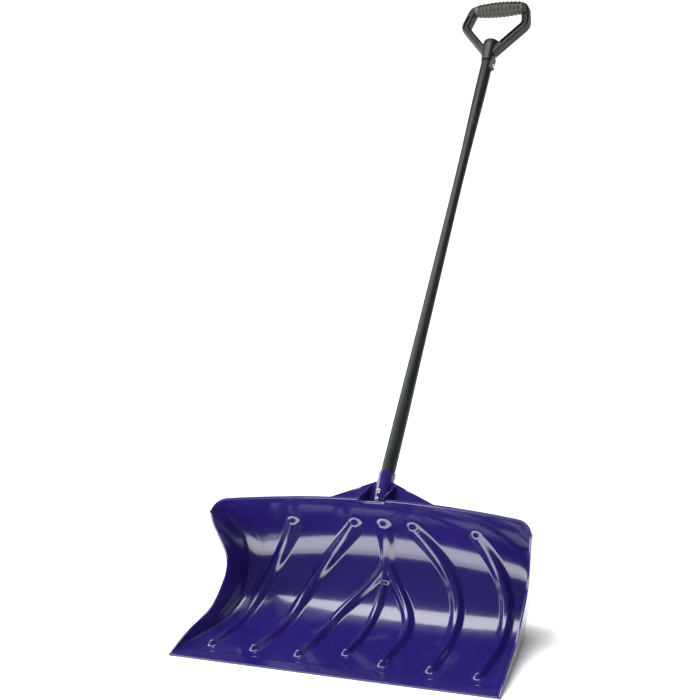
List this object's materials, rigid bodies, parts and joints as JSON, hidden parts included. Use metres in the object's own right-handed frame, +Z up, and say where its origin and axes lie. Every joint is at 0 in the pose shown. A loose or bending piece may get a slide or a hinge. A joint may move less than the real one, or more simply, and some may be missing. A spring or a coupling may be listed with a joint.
{
  "type": "snow shovel",
  "caption": "Wide moulded push shovel for snow with a ribbed curved scoop, a straight tapered shaft and a D-grip, standing on its lip.",
  "frame": {"origin": "on the ground, in the middle of the scoop's cutting edge", "axes": "+Z up with the lip flat on the ground, the scoop opens towards -Y, the handle leans back towards +Y, +X across"},
  "size_m": [0.6114, 0.9898, 0.96],
  "materials": {
    "blade_plastic": "glossy moulded polypropylene, dark blue",
    "sleeve_resin": "satin dark green-black resin",
    "grip_plastic": "satin black moulded plastic",
    "grip_soft": "matt soft grip cover, dark grey",
    "screw_steel": "zinc plated",
    "core_steel": "plain drawn tube",
    "plug_plastic": "matt black"
  },
  "bodies": {
    "root": {"blade": "blade_plastic", "shaft_sleeve": "sleeve_resin", "shaft_core_tube": "core_steel", "core_bottom_plug": "plug_plastic", "core_top_plug": "plug_plastic", "upper_blade_screw": "screw_steel", "lower_blade_screw": "screw_steel", "grip_frame": "grip_plastic", "grip_cover": "grip_soft", "grip_screw": "screw_steel"}
  },
  "joints": []
}
